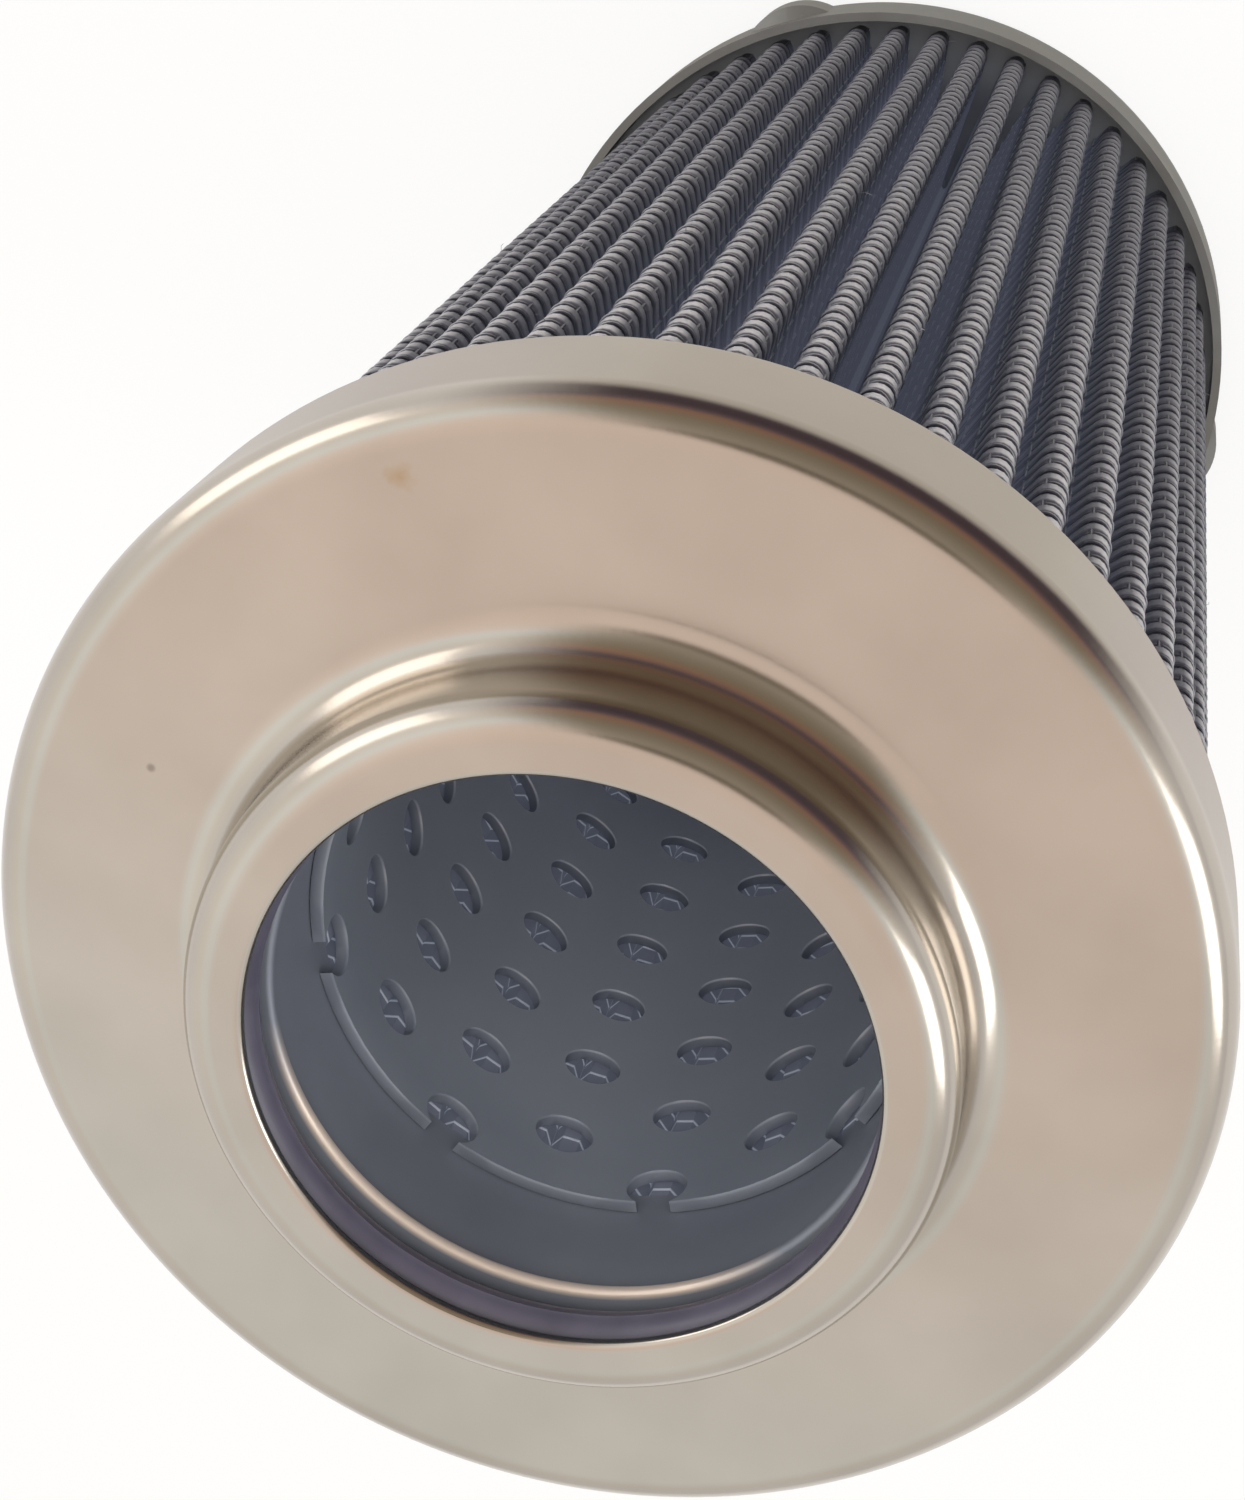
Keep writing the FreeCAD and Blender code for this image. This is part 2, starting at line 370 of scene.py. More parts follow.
def drawnSteelWire():
    # drawn wire with a lilac-grey cast, duller in patches; a painted highlight makes it bright on the
    # crests' tops near the open end, painted shade darkens the sides that lie in the felt, and deep in the
    # folds a painted glow keeps it slate grey
    material, tree = newMaterial("drawnSteelWire")
    place = addNode(tree, "TexCoord").outputs["Object"]
    patches = addNode(tree, "TexNoise", {"Vector": place}, Scale=1 / (1.5 * mm), Detail=3.0).outputs["Fac"]
    crown = addNode(tree, "ValToRGB", {"Fac": patches}, stops=[(0.3, "#b4b4ba"), (0.7, "#c8c8cc")])
    # painted highlight: pale on the crests' tops, fading towards the closed end, dark elsewhere
    paintedHighlight = addNode(tree, "Mix", {0: crestTop(tree, place), 7: crown.outputs[0]}, {6: toLinear("#63656f")},
                     data_type="RGBA")
    # painted shade down the wire's sides, where they lie in the felt
    facing = addNode(tree, "TexCoord").outputs["Normal"]
    sideways = addNode(tree, "SeparateXYZ", {"Vector": facing}).outputs["Z"]
    steep = addNode(tree, "Math", {0: sideways}, operation="ABSOLUTE").outputs[0]
    paintedCreaseShade = addNode(tree, "MapRange", {"Value": steep}, {"From Min": 0.3, "From Max": 0.7}).outputs[0]
    tone = addNode(tree, "Mix", {0: paintedCreaseShade, 6: paintedHighlight.outputs[2]}, {7: toLinear("#4b4c57")}, data_type="RGBA")
    rough = addNode(tree, "MapRange", {"Value": patches},
                    {"From Min": 0.3, "From Max": 0.7, "To Min": 0.28, "To Max": 0.38})
    # painted glow deep in the folds: an emission, though the wire is no lamp
    scattered = addNode(tree, "Mix", {0: foldDepth(tree, place)},
                        {6: toLinear("#000000"), 7: toLinear("#393c46")}, data_type="RGBA")
    shader = addNode(tree, "BsdfPrincipled", {"Base Color": tone.outputs[2], "Roughness": rough.outputs[0],
                                              "Emission Color": scattered.outputs[2]},
                     Metallic=0.7, Emission_Strength=1.0)
    addNode(tree, "OutputMaterial", {"Surface": shader.outputs[0]})
    return material


def glassFibreMat(rowHeight, rowPitch):
    # felt of fine glass fibre with binder: pale lilac grey and matt on the crests' tops; painted shade
    # darkens it down the flanks, deep in the folds and where each wire presses it in, and a painted glow
    # keeps the deep folds slate grey instead of going black
    material, tree = newMaterial("glassFibreMat")
    place = addNode(tree, "TexCoord").outputs["Object"]
    # painted shade in the felt beside each wire, less towards the closed end
    unshaded, shaded = paintedPackShading["creaseShadeReach"]
    pressed = addNode(tree, "MapRange", {"Value": nearestRow(tree, place, rowHeight, rowPitch)},
                      {"From Min": unshaded * mm, "From Max": shaded * mm}).outputs[0]
    paintedCreaseShade = addNode(tree, "Math", {0: pressed, 1: towardsMouth(tree, place)}, operation="MULTIPLY")
    tufts = addNode(tree, "TexNoise", {"Vector": place}, Scale=1 / (0.8 * mm), Detail=4.0).outputs["Fac"]
    crown = addNode(tree, "ValToRGB", {"Fac": tufts}, stops=[(0.3, "#adadb3"), (0.7, "#c2c1c5")])
    # painted shade: the felt darker down the flanks and deep in the folds
    flank = addNode(tree, "Mix", {0: foldDepth(tree, place)},
                    {6: toLinear("#63656f"), 7: toLinear("#383a42")}, data_type="RGBA")
    # painted highlight: the felt's pale tone only on the crests' tops near the open end
    pale = addNode(tree, "Mix", {0: crestTop(tree, place), 6: flank.outputs[2], 7: crown.outputs[0]},
                   data_type="RGBA")
    colour = addNode(tree, "Mix", {0: paintedCreaseShade.outputs[0], 6: pale.outputs[2]}, {7: toLinear("#3b3b46")},
                     data_type="RGBA")
    fibres = addNode(tree, "TexNoise", {"Vector": place}, Scale=1 / (0.2 * mm), Detail=3.0).outputs["Fac"]
    bump = addNode(tree, "Bump", {"Height": fibres}, Strength=0.3, Distance=0.1 * mm)
    # painted glow deep in the folds: an emission, though the felt is no lamp
    scattered = addNode(tree, "Mix", {0: foldDepth(tree, place)},
                        {6: toLinear("#000000"), 7: toLinear("#414450")}, data_type="RGBA")
    shader = addNode(tree, "BsdfPrincipled", {"Base Color": colour.outputs[2], "Normal": bump.outputs[0],
                                              "Emission Color": scattered.outputs[2]},
                     Roughness=0.6, Emission_Strength=1.0)
    addNode(tree, "OutputMaterial", {"Surface": shader.outputs[0]})
    return material


def innerWireCloth(rowHeight, rowPitch):
    # the inner cloth as the tube's holes show it: slate felt with a light wire across, and a painted glow,
    # brightest on the wire, for light coming through from outside
    material, tree = newMaterial("innerWireCloth")
    place = addNode(tree, "TexCoord").outputs["Object"]
    middle, rim = paintedPackShading["wireReach"]
    wire = addNode(tree, "MapRange", {"Value": nearestRow(tree, place, rowHeight, rowPitch)},
                   {"From Min": middle * mm, "From Max": rim * mm, "To Min": 1.0, "To Max": 0.0}).outputs[0]
    tone = addNode(tree, "Mix", {0: wire}, {6: toLinear("#6b6f79"), 7: toLinear("#b4b4ba")},
                   data_type="RGBA")
    # painted glow for light coming through from outside, brightest on the wire
    paintedGlow = addNode(tree, "Mix", {0: wire}, {6: toLinear("#393c45"), 7: toLinear("#626873")},
                      data_type="RGBA")
    bump = addNode(tree, "Bump", {"Height": wire}, Strength=0.8, Distance=0.15 * mm)
    shader = addNode(tree, "BsdfPrincipled", {"Base Color": tone.outputs[2], "Normal": bump.outputs[0],
                                              "Emission Color": paintedGlow.outputs[2]},
                     Metallic=0.2, Roughness=0.5, Emission_Strength=1.0)
    addNode(tree, "OutputMaterial", {"Surface": shader.outputs[0]})
    return material


def mouldedNitrile():
    # moulded seal rubber, black with a violet cast and a soft bloom, shinier where it is oiled
    material, tree = newMaterial("mouldedNitrile")
    place = addNode(tree, "TexCoord").outputs["Object"]
    bloom = addNode(tree, "TexNoise", {"Vector": place}, Scale=1 / (3 * mm), Detail=4.0).outputs["Fac"]
    tone = addNode(tree, "ValToRGB", {"Fac": bloom}, stops=[(0.3, "#555362"), (0.7, "#625f6f")])
    rough = addNode(tree, "MapRange", {"Value": bloom},
                    {"From Min": 0.3, "From Max": 0.7, "To Min": 0.28, "To Max": 0.42})
    shader = addNode(tree, "BsdfPrincipled", {"Base Color": tone.outputs[0], "Roughness": rough.outputs[0]})
    addNode(tree, "OutputMaterial", {"Surface": shader.outputs[0]})
    return material


def castEpoxy():
    # poured epoxy: mid grey, smooth with a slight gloss
    material, tree = newMaterial("castEpoxy")
    place = addNode(tree, "TexCoord").outputs["Object"]
    swirl = addNode(tree, "TexNoise", {"Vector": place}, Scale=1 / (5 * mm), Detail=3.0).outputs["Fac"]
    tone = addNode(tree, "ValToRGB", {"Fac": swirl}, stops=[(0.3, "#838589"), (0.7, "#909295")])
    bump = addNode(tree, "Bump", {"Height": swirl}, Strength=0.1, Distance=0.2 * mm)
    shader = addNode(tree, "BsdfPrincipled", {"Base Color": tone.outputs[0], "Normal": bump.outputs[0]},
                     Roughness=0.35)
    addNode(tree, "OutputMaterial", {"Surface": shader.outputs[0]})
    return material


capSteel = brightPlatedSteel()
footSteel = dullShadedPlatedSteel()
tubeSteel = rolledTubeSteel()
collarSteel = highlitCollarSteel()
wireSteel = drawnSteelWire()
sealRubber = mouldedNitrile()
pottingResin = castEpoxy()
print("metals, rubber and resin made")


# Open cap: one pressed sheet with a drawn neck

cap = {
    "sheet": 0.8,             # mm
    "rimBend": 2.2,           # outside radius where the face turns into the skirt
    "neckRadius": 20.5,
    "neckHeight": 7.0,
    "neckShoulder": 2.0,
    "neckFoot": 2.3,          # fillet where the neck leaves the face
    "mouthRadius": 16.7,
    "edgeRound": 0.35,        # sheared edges, rubbed round
    "turns": 180,             # steps of the spin
}


def pressedCap():
    low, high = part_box("top_end_cap")
    rim, top, skirtEnd = high.x / mm, high.z / mm, low.z / mm
    sheet, neck, mouth, edge = cap["sheet"], cap["neckRadius"], cap["mouthRadius"], cap["edgeRound"]
    shoulder, foot, roll = cap["neckShoulder"], cap["neckFoot"], cap["rimBend"]
    face = top - cap["neckHeight"]
    outline = bend((mouth + edge, top - edge), edge, 180, 90)
    outline += bend((neck - shoulder, top - shoulder), shoulder, 90, 0)
    outline += bend((neck + foot, face + foot), foot, 180, 270)
    outline += bend((rim - roll, face - roll), roll, 90, 0)
    outline += bend((rim - edge, skirtEnd + edge), edge, 0, -90)
    outline += bend((rim - sheet + edge, skirtEnd + edge), edge, 270, 180)
    outline += bend((rim - roll, face - roll), roll - sheet, 0, 90)
    outline += bend((neck + foot, face + foot), foot + sheet, 270, 180)
    outline += bend((neck - shoulder, top - shoulder), shoulder - sheet, 0, 90)
    outline += bend((mouth + edge, top - sheet + edge), edge, 270, 180)
    return spunPiece("pressedCap", outline, cap["turns"])


finishPiece(pressedCap(), capSteel, ["top_end_cap"])
print("open cap pressed")


# Sealing ring and the collar under it

sealing = {
    "flash": 0.05,            # mm, height of the mould's parting line round the ring
    "flashAngle": 4.0,        # degrees of the ring's section on each side of it
    "collarSheet": 0.8,
    "collarEdge": 0.35,
    "turns": 144,
}


def sealRing():
    low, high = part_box("neck_seal_ring")
    section = (high.z - low.z) / 2 / mm
    centre = (high.x / mm - section, (high.z + low.z) / 2 / mm)
    flash, spread = sealing["flash"], sealing["flashAngle"]
    outline = bend(centre, section, 180 - spread, spread)
    outline += [(centre[0] + section, centre[1])]
    outline += bend(centre, section, -spread, -180 + spread)
    outline += [(centre[0] - section - flash, centre[1])]
    return spunPiece("sealRing", outline, sealing["turns"])


def turnedInCollar():
    low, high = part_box("seal_collar")
    outer, top, bottom = high.x / mm, high.z / mm, low.z / mm
    sheet, edge, mouth = sealing["collarSheet"], sealing["collarEdge"], cap["mouthRadius"]
    bore = outer - sheet
    outline = bend((outer - edge, top - edge), edge, 90, 0)
    outline += [(outer, bottom), (bore, bottom), (bore, top - sheet)]
    outline += bend((mouth + edge, top - sheet + edge), edge, 270, 180)
    outline += bend((mouth + edge, top - edge), edge, 180, 90)
    return spunPiece("turnedInCollar", outline, sealing["turns"])


finishPiece(sealRing(), sealRubber, ["neck_seal_ring"])
finishPiece(turnedInCollar(), collarSteel, ["seal_collar"])
print("ring and collar set")


# Centre tube: the holes' sheared edges are rubbed round, which is what glints inside

tube = {
    "edgeRound": 0.13,        # mm
    "weld": 0.005,
    "sharpFrom": 60,          # degrees between two faces whose edge is rubbed round
    "smoothUpTo": 38,
    "wallFacing": 0.95,       # how straight a face of the wall looks at the axis, or away from it
}


def perforatedTube():
    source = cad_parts["centre_tube"]
    piece = bpy.data.objects.new("perforatedTube", source.data.copy())
    bpy.context.collection.objects.link(piece)
    makeActive(piece)
    bpy.ops.object.mode_set(mode="EDIT")
    bpy.ops.mesh.select_all(action="SELECT")
    bpy.ops.mesh.remove_doubles(threshold=tube["weld"] * mm)
    bpy.ops.object.mode_set(mode="OBJECT")
    bpy.ops.object.modifier_add(type="BEVEL")
    edges = piece.modifiers[-1]
    edges.width = tube["edgeRound"] * mm
    edges.segments = 1
    edges.limit_method = "ANGLE"
    edges.angle_limit = math.radians(tube["sharpFrom"])
    bpy.ops.object.modifier_apply(modifier=edges.name)
    return piece


def shadeWallsRound(piece):
    # corners of the two walls shade as true cylinders, the holes keep their own shading
    mesh = piece.data
    normals = [corner.vector.copy() for corner in mesh.corner_normals]
    for face in mesh.polygons:
        facing = face.normal.dot(Vector((face.center.x, face.center.y, 0)).normalized())
        if abs(facing) < tube["wallFacing"]:
            continue
        for corner in face.loop_indices:
            place = mesh.vertices[mesh.loops[corner].vertex_index].co
            normals[corner] = Vector((place.x, place.y, 0)).normalized() * math.copysign(1, facing)
    mesh.normals_split_custom_set(normals)


punchedTube = perforatedTube()
finishPiece(punchedTube, tubeSteel, ["centre_tube"], smoothUpTo=tube["smoothUpTo"])
shadeWallsRound(punchedTube)
print("tube perforated")


# Outer wire cloth of the pleated pack

cloth = {
    "pleats": 52,             # folds round the pack
    "firstCrest": -2.0,       # degrees from +X
    "crestRadius": 1.15,      # mm, outside of a crest
    "rootRadius": 0.12,       # outside of a root
    "packDepth": 0.96,        # all plies
    "packReach": 32.6,        # crest tops from the axis
    "plyGap": 0.03,
    "meshPitch": 1.87,        # 14 wires to the inch, about
    "wireRadius": 0.12,
    "warpRadius": 0.11,
    "warpSink": 0.08,         # the finer wires along the folds lie this much deeper
    "wireSway": 0.07,         # how far a wire swings over and under its neighbours
    "clothDepth": 0.24,       # middle of the cloth below the pack's outside
    "wovenReach": 3.0,        # the weave shows this far from the crest; further in the wires run plain
    "crestSteps": 6,          # points of a wire from the crest's top to its end
    "bands": 3,               # the wires across are made in lengths of the pack, to keep each mesh small
    "smoothUpTo": 100,        # degrees; a four-sided wire shades as a round one
}

meshLow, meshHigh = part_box("outer_mesh")
tubeLow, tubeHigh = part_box("centre_tube")
tubeRadius = (tubeHigh.x - tubeLow.x) / 2 / mm
halfPleat = math.pi / cloth["pleats"]


class Fold:
    # one pleat's surface at a depth in mm below the pack's outside, its crest on +X

    def __init__(self, depth):
        self.crest = cloth["crestRadius"] - depth
        self.root = cloth["rootRadius"] + depth
        self.crestCentre = Vector((cloth["packReach"] - cloth["crestRadius"], 0))
        rootReach = tubeRadius + cloth["plyGap"] + cloth["packDepth"] + cloth["rootRadius"]
        self.rootCentre = Vector((rootReach * math.cos(halfPleat), rootReach * math.sin(halfPleat)))
        between = self.rootCentre - self.crestCentre
        self.flank = math.atan2(between.y, between.x) - math.acos((self.crest + self.root) / between.length)
        self.normal = Vector((math.cos(self.flank), math.sin(self.flank)))
        self.flankStart = self.crestCentre + self.normal * self.crest
        flankStop = self.rootCentre - self.normal * self.root
        self.inward = (flankStop - self.flankStart).normalized()
        self.crestEnd = self.crest * self.flank
        self.flankEnd = self.crestEnd + (flankStop - self.flankStart).length
        self.end = self.flankEnd + self.root * (self.flank - halfPleat)

    def at(self, along, lift=0.0):
        # place at this distance along the sheet from the crest's top, lifted off its surface
        side = -1 if along < 0 else 1
        s = abs(along)
        if s <= self.crestEnd:
            angle = s / self.crest
            place = self.crestCentre + Vector((math.cos(angle), math.sin(angle))) * (self.crest + lift)
        elif s <= self.flankEnd:
            place = self.flankStart + self.inward * (s - self.crestEnd) + self.normal * lift
        else:
            angle = math.pi + self.flank - (s - self.flankEnd) / self.root
            place = self.rootCentre + Vector((math.cos(angle), math.sin(angle))) * (self.root - lift)
        return Vector((place.x, place.y * side))


def onPack(place, z):
    # from mm on the first fold to metres on the pack
    angle = math.radians(cloth["firstCrest"])
    x = place.x * math.cos(angle) - place.y * math.sin(angle)
    y = place.x * math.sin(angle) + place.y * math.cos(angle)
    return (x * mm, y * mm, z)


pitch = cloth["meshPitch"]
packLow, packHigh = meshLow.z, meshHigh.z
rowPairs = int((packHigh - packLow) / mm / pitch / 2)
rowCount = 2 * rowPairs
firstRow = packLow + (packHigh - packLow - (rowCount - 1) * pitch * mm) / 2


def weftPath(fold, row):
    # across the pleat, over one warp wire and under the next
    steps = cloth["crestSteps"]
    stations = [k * fold.crestEnd / steps for k in range(-steps, steps + 1)]
    stations += [1.5 * pitch, -1.5 * pitch, fold.flankEnd, -fold.flankEnd]
    sign = 1 if row % 2 == 0 else -1
    path = []
    for s in sorted(stations):
        woven = abs(s) < cloth["wovenReach"]
        sway = cloth["wireSway"] * sign * math.sin(math.pi * s / pitch) if woven else 0.0
        path.append(onPack(fold.at(s, sway), firstRow + row * pitch * mm))
    return path


def warpPath(fold, s):
    # along the pleat, under and over the weft
    path = [onPack(fold.at(s, -cloth["warpSink"]), packLow)]
    for row in range(rowCount):
        sign = 1 if row % 2 == 0 else -1
        sway = -cloth["wireSway"] * sign * math.sin(math.pi * s / pitch) - cloth["warpSink"]
        path.append(onPack(fold.at(s, sway), firstRow + row * pitch * mm))
    path.append(onPack(fold.at(s, -cloth["warpSink"]), packHigh))
    return path


clothFold = Fold(cloth["clothDepth"])
wireRadius, warpRadius = cloth["wireRadius"] * mm, cloth["warpRadius"] * mm
for band in range(cloth["bands"]):
    firstPair = band * rowPairs // cloth["bands"]
    pairs = (band + 1) * rowPairs // cloth["bands"] - firstPair
    weft = wireMesh("wireClothWeft%d" % (band + 1),
                    [weftPath(clothFold, 2 * firstPair), weftPath(clothFold, 2 * firstPair + 1)], wireRadius)
    arrayRoundAxis(weft, cloth["pleats"], merge=False)
    arrayAlongAxis(weft, pairs, 2 * pitch * mm)
    finishPiece(weft, wireSteel, ["outer_mesh"], smoothUpTo=cloth["smoothUpTo"])

warpStations = [-0.5 * pitch, 0.5 * pitch]
warp = wireMesh("wireClothWarp", [warpPath(clothFold, s) for s in warpStations], warpRadius)
arrayRoundAxis(warp, cloth["pleats"], merge=False)
finishPiece(warp, wireSteel, ["outer_mesh"], smoothUpTo=cloth["smoothUpTo"])

deepStations = [side * k * pitch for k in (1.5, 2.5, 3.5, 4.5, 5.5) for side in (-1, 1)]
deepPaths = [[onPack(clothFold.at(s), z) for z in (packLow, packHigh)] for s in deepStations]
deepWarp = wireMesh("wireClothDeepWarp", deepPaths, warpRadius)
arrayRoundAxis(deepWarp, cloth["pleats"], merge=False)
finishPiece(deepWarp, wireSteel, ["outer_mesh"], smoothUpTo=cloth["smoothUpTo"])
print("wire cloth woven")


# Glass fibre mat, pressed in by the wires and swollen through the cells between them

mat = {
    "pressedDepth": 0.50,     # mm below the pack's outside where a wire presses it in
    "swell": 0.38,            # how far it rises from there between two wires
    "innerDepth": 0.70,
    "levels": ((0.0, 0.0), (0.28, 0.92), (0.72, 0.92)),  # share of a pitch, share of the swell
    "endSwell": 0.5,          # share of the swell at both ends of the pack
    "flankSwell": 0.6,        # share of the swell that is left on the folds' flanks
    "flankStart": 3.0,        # mm from the end of the crest to the next row of points
    "crestSteps": 4,
    "nearly": 0.01,           # mm, less than the step between two rows of points
    "bands": 3,               # the sheet is made in lengths, to keep each mesh small
}


def matSheet(name, heights):
    # one fold of the mat as a closed strip: its cushioned face has no operator that gives it
    outer, inner = Fold(mat["pressedDepth"]), Fold(mat["innerDepth"])
    steps, nearly = mat["crestSteps"], mat["nearly"]
    stations = [k * outer.crestEnd / steps for k in range(-steps, steps + 1)]
    rows = (outer.crestEnd + mat["flankStart"], outer.flankEnd, outer.end)
    stations += [side * s for s in rows for side in (-1, 1)]
    stations.sort()
    across = len(stations)
    verts, faces = [], []
    for z, swell in heights:
        for s in stations:
            share = mat["flankSwell"] if abs(s) < outer.flankEnd - nearly else 0.0
            if abs(s) < outer.crestEnd + nearly:
                share = 1.0
            verts.append(onPack(outer.at(s, mat["swell"] * swell * share), z))
    for level in range(len(heights) - 1):
        for k in range(across - 1):
            a = level * across + k
            faces.append((a, a + 1, a + 1 + across, a + across))
    innerBase = len(verts)
    for z in (heights[0][0], heights[-1][0]):
        for s in stations:
            verts.append(onPack(inner.at(s * inner.end / outer.end), z))
    top = (len(heights) - 1) * across
    for k in range(across - 1):
        lowIn, highIn = innerBase + k, innerBase + across + k
        faces.append((lowIn + 1, lowIn, highIn, highIn + 1))
        faces.append((k + 1, k, lowIn, lowIn + 1))
        faces.append((top + k, top + k + 1, highIn + 1, highIn))
    mesh = bpy.data.meshes.new(name)
    mesh.from_pydata(verts, [], faces)
    piece = bpy.data.objects.new(name, mesh)
    bpy.context.collection.objects.link(piece)
    return piece


fibreFelt = glassFibreMat(firstRow, pitch * mm)
for band in range(mat["bands"]):
    startRow = band * rowCount // mat["bands"]
    stopRow = (band + 1) * rowCount // mat["bands"]
    heights = [(packLow, mat["endSwell"])] if band == 0 else []
    for row in range(startRow, stopRow):
        heights += [(firstRow + (row + share) * pitch * mm, swell) for share, swell in mat["levels"]]
    if band == mat["bands"] - 1:
        heights = heights[:1 - len(mat["levels"])] + [(packHigh, mat["endSwell"])]
    else:
        heights += [(firstRow + stopRow * pitch * mm, 0.0)]
    felt = matSheet("pleatedGlassMat%d" % (band + 1), heights)
    arrayRoundAxis(felt, cloth["pleats"], merge=True)
    finishPiece(felt, fibreFelt, ["filter_media"])
print("mat pleated")


# Loose glass fibres that stand off the crests

fuzz = {
    "seed": 11,
    "count": 90,
    "radius": 0.02,           # mm
    "length": (0.8, 2.2),
    "across": (-1.4, 1.4),    # where one starts, mm along the sheet from the crest's top
    "ends": (4, 6),           # mm at both ends of the pack that stay free
    "lean": (-1, 1),
    "rise": (-0.8, 0.8),
    "curl": (-1.2, 1.2),
    "lift": 0.5,              # mm, how far one stands off the crest
    "arch": 0.6,              # share of a half wave that it makes on its way out
    "shares": (0.0, 0.3, 0.6, 1.0),   # points along one, as shares of its length
}


def looseFibres():
    dice = random.Random(fuzz["seed"])
    paths = []
    for _ in range(fuzz["count"]):
        turn = math.radians(cloth["firstCrest"] + 360 * dice.randrange(cloth["pleats"]) / cloth["pleats"])
        start = clothFold.at(dice.uniform(*fuzz["across"]))
        height = dice.uniform(packLow / mm + fuzz["ends"][0], packHigh / mm - fuzz["ends"][1])
        length = dice.uniform(*fuzz["length"])
        lean, rise, curl = (dice.uniform(*fuzz[key]) for key in ("lean", "rise", "curl"))
        path = []
        for share in fuzz["shares"]:
            out = fuzz["lift"] * math.sin(math.pi * share * fuzz["arch"])
            x = start.x + out
            y = start.y + length * share * lean * 0.5 + curl * share * share * 0.4
            spot = Matrix.Rotation(turn, 3, "Z") @ Vector((x, y, height + length * share * rise))
            path.append(spot * mm)
        paths.append(path)
    return wireMesh("looseFibres", paths, fuzz["radius"] * mm)


finishPiece(looseFibres(), fibreFelt)
print("loose fibres scattered")


# CAD nodes that keep their shape take a finish only

def dressNode(nodeName, material):
    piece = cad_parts[nodeName]
    piece.data.materials.clear()
    piece.data.materials.append(material)


dressNode("bottom_end_cap", footSteel)
dressNode("top_potting", pottingResin)
dressNode("bottom_potting", pottingResin)
dressNode("inner_mesh", innerWireCloth(firstRow, pitch * mm))
print("other nodes dressed")


# Floor and soft surroundings: pale and a little warm, with one dim side towards -Y

studio = {
    "floorSize": 4.0,         # metres
    "floorColour": "#f6f6f4",
    "whiteShare": 0.8,        # how much of the floor's seen tone is plain white, the rest keeps the shadow
    "dimSide": (-0.09, -1.0, 0.0),
    "reach": 0.4,             # metres from the axis that the stops of the next two lines span
    "nearFloor": [(0.14, "#bfb6b0"), (0.32, "#ffffff")],
    "dimFloor": [(0.0, "#e0dcd3"), (0.4, "#d6d0c8"), (0.75, "#54474f")],
    "pale": [(0.0, "#e1e1e1"), (0.5, "#ebe8e2"), (0.74, "#f4fafa"), (0.86, "#f9eae0"), (1.0, "#f9e7dc")],
    "dim": [(0.0, "#554a53"), (0.1, "#6d5d62"), (0.18, "#94705f"), (0.3, "#9a7c68"), (0.42, "#8c7d6a"),
            (0.7, "#968c7d"), (0.9, "#a89e90"), (0.93, "#6d6456"), (0.97, "#786f61"), (0.995, "#f9e7dc")],
    "strength": (1.05, 1.3),  # straight up and towards -X, and level towards +X
    "dimEdge": (0.5, 0.85),   # cosine from the dim side's heading at which it begins and is full
}


def dimSideMask(tree, place):
    # 1 where a place or direction lies towards the dim side, fading to 0 beside it
    level = addNode(tree, "VectorMath", {0: place}, {1: (1, 1, 0)}, operation="MULTIPLY").outputs[0]
    heading = addNode(tree, "VectorMath", {0: level}, operation="NORMALIZE").outputs[0]
    towards = addNode(tree, "VectorMath", {0: heading}, {1: studio["dimSide"]}, operation="DOT_PRODUCT")
    begins, full = studio["dimEdge"]
    mask = addNode(tree, "MapRange", {"Value": towards.outputs["Value"]},
                   {"From Min": begins, "From Max": full}, interpolation_type="SMOOTHSTEP")
    return mask.outputs[0]


bpy.ops.mesh.primitive_plane_add(size=studio["floorSize"], location=(0, 0, 0))
floor = bpy.context.object
floor.name = "paleFloor"
floorMaterial, floorTree = newMaterial("paleFloor")
floorPlace = addNode(floorTree, "TexCoord").outputs["Object"]
ray = addNode(floorTree, "LightPath").outputs
seen = addNode(floorTree, "Math", {0: ray["Is Camera Ray"], 1: ray["Is Glossy Ray"]}, operation="ADD")
seenAll = addNode(floorTree, "Math", {0: seen.outputs[0], 1: ray["Is Transmission Ray"]}, operation="ADD",
                  use_clamp=True)
whiteShare = addNode(floorTree, "Math", {0: seenAll.outputs[0]}, {1: studio["whiteShare"]},
                     operation="MULTIPLY")
farOut = addNode(floorTree, "MapRange", {"Value": fromAxis(floorTree, floorPlace)},
                 {"From Max": studio["reach"]}).outputs[0]
nearFloor = addNode(floorTree, "ValToRGB", {"Fac": farOut}, stops=studio["nearFloor"])
dimFloor = addNode(floorTree, "ValToRGB", {"Fac": farOut}, stops=studio["dimFloor"])
# metal sees a painted shadow on the floor round the filter and the dim side's floor dark; the picture's
# ground stays white
whiteTone = addNode(floorTree, "Mix", {0: ray["Is Glossy Ray"], 7: nearFloor.outputs[0]}, {6: (1, 1, 1, 1)},
                    data_type="RGBA")
mirroredDim = addNode(floorTree, "Math", {0: dimSideMask(floorTree, floorPlace), 1: ray["Is Glossy Ray"]},
                      operation="MULTIPLY")
floorTone = addNode(floorTree, "Mix", {0: mirroredDim.outputs[0], 6: whiteTone.outputs[2],
                                       7: dimFloor.outputs[0]}, data_type="RGBA")
floorShare = addNode(floorTree, "Math", {0: whiteShare.outputs[0], 1: mirroredDim.outputs[0]},
                     operation="MAXIMUM")
floorPaint = addNode(floorTree, "BsdfPrincipled", Base_Color=toLinear(studio["floorColour"]), Roughness=0.9)
floorWhite = addNode(floorTree, "Emission", {"Color": floorTone.outputs[2]}, Strength=1.0)
floorLook = addNode(floorTree, "MixShader", {0: floorShare.outputs[0], 1: floorPaint.outputs[0],
                                             2: floorWhite.outputs[0]})
addNode(floorTree, "OutputMaterial", {"Surface": floorLook.outputs[0]})
floor.data.materials.append(floorMaterial)

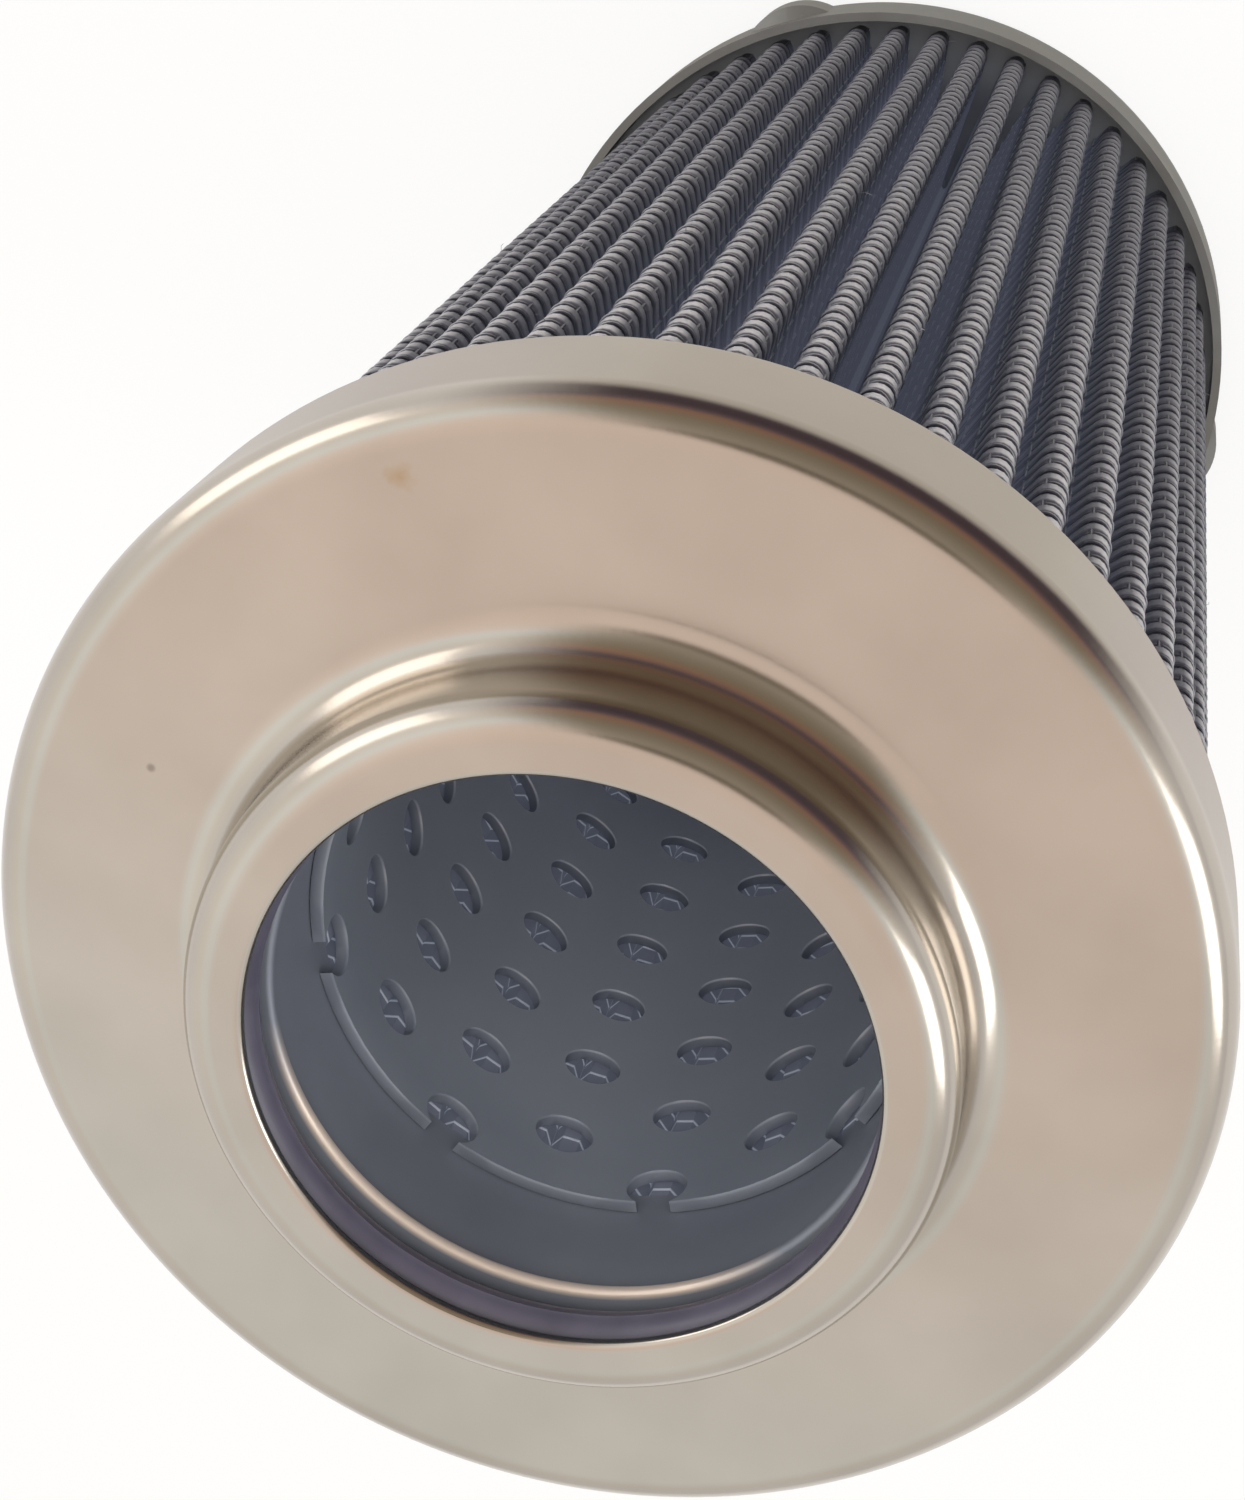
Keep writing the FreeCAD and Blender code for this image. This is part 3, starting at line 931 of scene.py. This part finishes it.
world = bpy.data.worlds.new("softStudio")
bpy.context.scene.world = world
world.use_nodes = True
sky = world.node_tree
sky.nodes.clear()
direction = addNode(sky, "TexCoord").outputs["Generated"]
axes = addNode(sky, "SeparateXYZ", {"Vector": direction}).outputs
pale = addNode(sky, "ValToRGB", {"Fac": axes["Z"]}, stops=studio["pale"])
dim = addNode(sky, "ValToRGB", {"Fac": axes["Z"]}, stops=studio["dim"])
around = addNode(sky, "Mix", {0: dimSideMask(sky, direction), 6: pale.outputs[0], 7: dim.outputs[0]},
                 data_type="RGBA")
strength = addNode(sky, "MapRange", {"Value": axes["X"]},
                   {"From Max": 0.6, "To Min": studio["strength"][0], "To Max": studio["strength"][1]})
background = addNode(sky, "Background", {"Color": around.outputs[2], "Strength": strength.outputs[0]})
backWhite = addNode(sky, "Background", Strength=1.0, Color=(1, 1, 1, 1))
cameraRay = addNode(sky, "LightPath").outputs["Is Camera Ray"]
skyLook = addNode(sky, "MixShader", {0: cameraRay, 1: background.outputs[0], 2: backWhite.outputs[0]})
addNode(sky, "OutputWorld", {"Surface": skyLook.outputs[0]})

lampAim = (0, 0, 0.08)
lamps = {
    "window": {"place": (-0.9, -0.1, 0.62), "size": 0.45, "power": 2.2, "colour": "#ffffff"},
    "card": {"place": (0.8, -0.22, 0.26), "size": 0.42, "power": 0.9, "colour": "#fff6ee"},
    "front": {"place": (0.0, -0.20, 0.40), "size": 0.26, "power": 0.7, "colour": "#ffffff"},
}
for name, lamp in lamps.items():
    bpy.ops.object.light_add(type="AREA", location=lamp["place"])
    light = bpy.context.object
    light.name = name
    light.data.size = lamp["size"]
    light.data.energy = lamp["power"]
    light.data.color = toLinear(lamp["colour"])[:3]
    # the front lamp only fills the mouth and the folds, and metal doesn't mirror it
    light.visible_glossy = name != "front"
    light.rotation_euler = (Vector(lampAim) - light.location).to_track_quat("-Z", "Y").to_euler()
print("floor, surroundings and lamps set")


# Camera, from a fit to the photograph

view = {
    "place": (0.0, -71.94, 247.49),   # mm
    "forward": (0.02816588, 0.45608671, -0.88948952),
    "up": (0.4065521, -0.81814755, -0.40663248),
    "lens": 59.18,
    "longSide": 36.0,
    "clipStart": 5.0,
}
cameraData = bpy.data.cameras.new("camera")
cameraData.sensor_fit = "VERTICAL"
cameraData.sensor_height = view["longSide"]
cameraData.lens = view["lens"]
cameraData.clip_start = view["clipStart"] * mm
camera = bpy.data.objects.new("camera", cameraData)
bpy.context.collection.objects.link(camera)
forward = Vector(view["forward"]).normalized()
right = forward.cross(Vector(view["up"])).normalized()
upward = right.cross(forward)
turn = Matrix((right, upward, -forward)).transposed().to_4x4()
camera.matrix_world = Matrix.Translation(Vector(view["place"]) * mm) @ turn
bpy.context.scene.camera = camera
bpy.context.scene.view_settings.view_transform = "Standard"
print("camera set")
